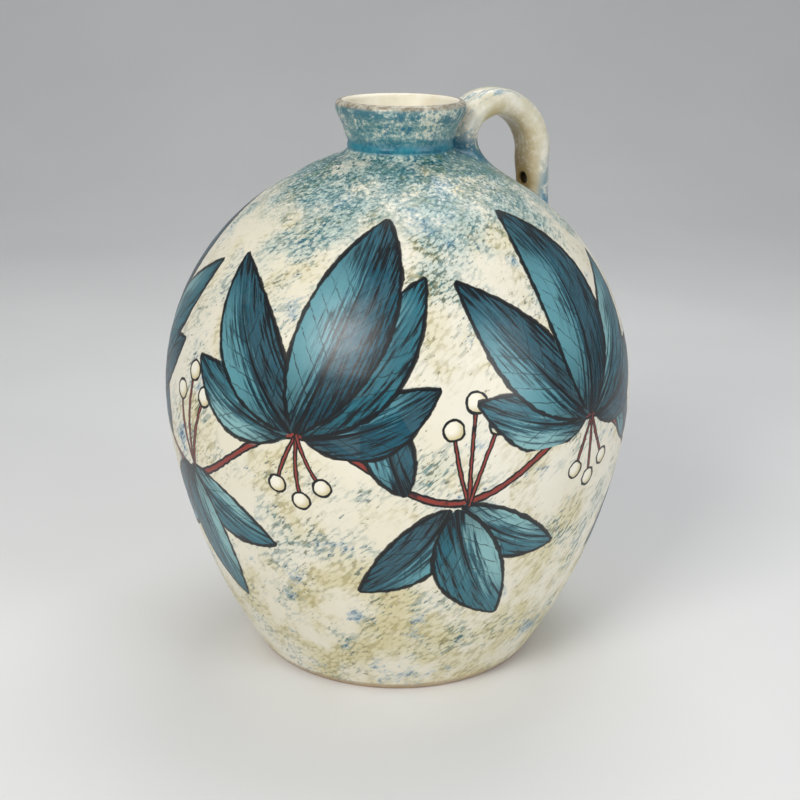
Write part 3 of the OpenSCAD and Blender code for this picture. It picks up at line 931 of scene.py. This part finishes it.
def handle_field(x, y, z):
    """Distance from the pulled handle, with its border on the body and its passages."""
    # The strap, by the distance out from its middle line
    leg_x = LEG_X + LEG_LEAN * smooth(z, *LEAN_Z)
    left = x < APEX_X
    root_cz, leg_cz = APEX_Z - ROOT_BEND, APEX_Z - LEG_BEND
    off = np.where(
        left,
        np.where(z > root_cz, np.hypot(x - APEX_X, z - root_cz) - ROOT_BEND, ROOT_X - x),
        np.where(z > leg_cz, np.hypot(x - APEX_X, z - leg_cz) - LEG_BEND, x - leg_x))
    low = smooth(z, *LEG_Z) * (~left)
    thick = STRAP_T / 2 - LEG_THIN * low + ROOT_THICK * smooth(z, *THICK_Z) * left
    wide = STRAP_W / 2 - LEG_NARROW * low + ROOT_WIDE * left * smooth(z, *WIDE_Z)
    side = np.hypot(np.maximum(np.abs(y) - (wide - thick), 0.0), off) - thick
    crease = CREASE * np.exp(-((y + CREASE_Y) / CREASE_HALF) ** 2)
    crease = crease * smooth(off, *CREASE_OUT) * smooth(z, *CREASE_Z)
    dent = DENT * np.sin(x * 0.23 + z * 0.31 + 1.0) * np.sin(y * 0.35 + z * 0.17)
    h = side + crease + SLACK + dent
    # Its flow into the body, down to a border just under the surface
    b = body_field(x, y, z)
    k = FLOW + WEB_FLOW * smooth(x, *WEB_TO) * smooth(x, *WEB_FROM)
    k = k + (NECK_FLOW - k) * smooth(z, *NECK_Z)
    f = smin(h, b, k) + BORDER_SINK
    f = np.maximum(f, -(b + BORDER_T))
    f = np.maximum(f, h - REACH * np.maximum(k, LEAST_FLOW))
    # The duct, the port and the hidden hole
    duct = np.hypot(off, y) - DUCT_R
    duct = np.maximum(duct, np.where(left, PORT_Z - z, -1.0))
    port = np.maximum(np.hypot(y, z - PORT_Z) - DUCT_R, x - PORT_END)
    f = np.maximum(f, -np.minimum(duct, port))
    hole = np.maximum(np.hypot(y, z - HOLE_Z) - HOLE_R, x - LEG_X)
    return smax(f, -hole, HOLE_ROUND)


def window(size, shifts):
    """Index of a block of that size in a grid, moved along some axes."""
    return tuple(slice(shifts.get(ax, 0), shifts.get(ax, 0) + n) for ax, n in enumerate(size))


def unpinch(val):
    """Fills corners in and out by turns round a square, where two sheets would meet."""
    for _ in range(FILL_ROUNDS):
        neg = val < 0
        fill = np.zeros(val.shape, bool)
        for ax in range(3):
            o1, o2 = [i for i in range(3) if i != ax]
            size = [n if i == ax else n - 1 for i, n in enumerate(val.shape)]
            at = [window(size, {o1: d1, o2: d2}) for d1, d2 in ((0, 0), (1, 0), (1, 1), (0, 1))]
            a, b, c, d = (neg[s] for s in at)
            pinch = (a == c) & (b == d) & (a != b)
            for s in at:
                fill[s] |= pinch & ~neg[s]
        if not fill.any():
            break
        val[fill] = FILLED


def slope(field, x, y, z, e=0.02):
    """Gradient of a field."""
    return np.stack([field(x + e, y, z) - field(x - e, y, z),
                     field(x, y + e, z) - field(x, y - e, z),
                     field(x, y, z + e) - field(x, y, z - e)], 1) / (2 * e)


def skin(name, field, lo, hi, step):
    """Closed mesh of where the field is zero, with a point in each grid box that it crosses."""
    n = [int(math.ceil((b - a) / step)) + 1 for a, b in zip(lo, hi)]
    axes = [a + step * np.arange(k) for a, k in zip(lo, n)]
    val = field(*np.meshgrid(*axes, indexing="ij"))
    val[np.abs(val) < TINY] = TINY
    unpinch(val)
    neg = val < 0
    boxes = tuple(k - 1 for k in n)
    total = np.zeros(boxes + (3,))
    hits = np.zeros(boxes)
    cuts = []
    for ax in range(3):
        size = [k - 1 if i == ax else k for i, k in enumerate(n)]
        near, far = window(size, {}), window(size, {ax: 1})
        cross = neg[near] != neg[far]
        cuts.append((cross, neg[near]))
        frac = np.where(cross, val[near] / np.where(cross, val[near] - val[far], 1.0), 0.0)
        o1, o2 = [i for i in range(3) if i != ax]
        for d1 in (0, 1):
            for d2 in (0, 1):
                s = window(boxes, {o1: d1, o2: d2})
                hits += cross[s]
                total[..., ax] += cross[s] * frac[s]
                total[..., o1] += cross[s] * d1
                total[..., o2] += cross[s] * d2
    live = hits > 0
    index = -np.ones(boxes, int)
    index[live] = np.arange(live.sum())
    pts = np.array(lo) + step * (np.argwhere(live) + total[live] / hits[live][:, None])

    # A face round each grid line that crosses the surface
    faces = []
    for ax, (cross, inside) in enumerate(cuts):
        o1, o2 = (ax + 1) % 3, (ax + 2) % 3
        ids = np.argwhere(cross)
        for o in (o1, o2):
            ids = ids[(ids[:, o] > 0) & (ids[:, o] < boxes[o])]
        quad = []
        for d1, d2 in ((-1, -1), (0, -1), (0, 0), (-1, 0)):
            c = ids.copy()
            c[:, o1] += d1
            c[:, o2] += d2
            quad.append(index[tuple(c.T)])
        quad = np.stack(quad, 1)
        flip = ~inside[tuple(ids.T)]
        quad[flip] = quad[flip][:, ::-1]
        faces.append(quad)
    faces = np.concatenate(faces)

    # Each point moves a little way on to the surface
    for _ in range(MOVES):
        x, y, z = pts.T
        f0 = field(x, y, z)
        g = slope(field, x, y, z)
        move = -(f0 / np.maximum((g * g).sum(1), LEAST_SLOPE))[:, None] * g
        size = np.linalg.norm(move, axis=1, keepdims=True)
        pts = pts + move * np.minimum(1.0, MOVE_SHARE * step / np.maximum(size, TINY))
    me = bpy.data.meshes.new(name)
    me.from_pydata((pts * MM).tolist(), [], faces.tolist())
    me.update()
    me.polygons.foreach_set("use_smooth", np.ones(len(faces), bool))
    return link_object(name, me)


grip_step = GRIP_STEP
grip = skin("handle_pulled", handle_field, GRIP_LO, GRIP_HI, grip_step)
grip.data.materials.append(handle_mat)

for o, slot, nodes in (
        (lower, "body_glaze", ("lower_body",)),
        (upper, "body_glaze", ("upper_body",)),
        (neck, "neck_glaze", ("neck",)),
        (grip, "handle_glaze", ("handle", "root_lute", "foot_lute"))):
    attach(o, "root")
    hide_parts(*nodes)
for name in ("siphon_tube", "tube_collar", "tube_lug"):
    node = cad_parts[name]
    node.data.materials.clear()
    node.data.materials.append(inner_mat)


# Floor, light and camera, in metres, all turned with the photograph's view of the handle
PHI = math.radians(35)
FLOOR_HALF, FLOOR_FRONT, COVE_AT, COVE_R, COVE_STEPS, BACKDROP_TOP = 4.8, -3.0, 0.8, 0.9, 12, 4.0
PAPER, PAPER_LIGHT, PAPER_ROUGH = (0.77, 0.77, 0.765), (0.80, 0.80, 0.795), 0.85
SKY, SKY_STRENGTH = (0.92, 0.95, 1.0, 1.0), 0.29
LENS, SENSOR, CLIP_START = 61.7, 36.0, 0.01
CAMERA_BACK, CAMERA_UP = 0.576, 0.3023
PITCH, YAW, ROLL = math.radians(18.545), math.radians(0.12), math.radians(0.7)


def stage_material():
    """Plain pale paper, clouded a little."""
    m, t, bsdf = new_material("floor_paper")
    cloud = noise(place(t)[0], 220.0, 2.0)
    put(bsdf.inputs["Base Color"], mix(ramp(cloud, 0.3, 0.7), PAPER, PAPER_LIGHT))
    bsdf.inputs["Roughness"].default_value = PAPER_ROUGH
    return m


rows = [(FLOOR_FRONT, 0.0), (COVE_AT, 0.0)]
for i in range(1, COVE_STEPS + 1):
    q = i / COVE_STEPS * math.pi / 2
    rows.append((COVE_AT + COVE_R * math.sin(q), COVE_R * (1 - math.cos(q))))
rows.append((COVE_AT + COVE_R, BACKDROP_TOP))
bm = bmesh.new()
strips = [[bm.verts.new((side * FLOOR_HALF, d, h)) for side in (-1, 1)] for d, h in rows]
for a, b in zip(strips, strips[1:]):
    f = bm.faces.new((a[0], a[1], b[1], b[0]))
    f.smooth = True
bmesh.ops.rotate(bm, verts=bm.verts, matrix=Matrix.Rotation(-PHI, 3, "Z"))
floor = to_object("floor", bm)
floor.data.materials.append(stage_material())

world = bpy.data.worlds.new("studio")
bpy.context.scene.world = world
world.use_nodes = True
sky = world.node_tree.nodes["Background"]
sky.inputs[0].default_value = SKY
sky.inputs[1].default_value = SKY_STRENGTH

right = Vector((math.cos(PHI), -math.sin(PHI), 0))
ahead = Vector((math.sin(PHI), math.cos(PHI), 0))


def lamp(name, side, fore, up, aim_z, size, power, colour):
    """A soft light, placed to the right, ahead and up as the camera looks, aimed at the axis."""
    d = bpy.data.lights.new(name, "AREA")
    d.shape = "RECTANGLE"
    d.size, d.size_y = size
    d.energy = power
    d.color = colour
    o = link_object(name, d)
    at = right * side + ahead * fore + Vector((0, 0, up))
    o.location = at
    o.rotation_euler = (Vector((0, 0, aim_z)) - at).to_track_quat("-Z", "Y").to_euler()


lamp("key", -0.55, -0.95, 0.85, 0.13, (0.5, 0.5), 10.2, (1.0, 0.985, 0.955))
lamp("fill", 0.85, -0.7, 0.45, 0.12, (0.5, 0.7), 4.2, (0.97, 0.98, 1.0))
lamp("top", 0.1, 0.35, 0.95, 0.15, (0.6, 0.5), 3.4, (1.0, 1.0, 1.0))

cam = bpy.data.cameras.new("camera")
cam.sensor_width = SENSOR
cam.lens = LENS
cam.clip_start = CLIP_START
eye = link_object("camera", cam)
eye.location = ahead * -CAMERA_BACK + Vector((0, 0, CAMERA_UP))
look = Matrix.Rotation(-PHI - YAW, 4, "Z") @ Matrix.Rotation(math.pi / 2 - PITCH, 4, "X")
look = look @ Matrix.Rotation(ROLL, 4, "Z")
eye.rotation_euler = look.to_euler()
bpy.context.scene.camera = eye
bpy.context.scene.view_settings.view_transform = "Standard"
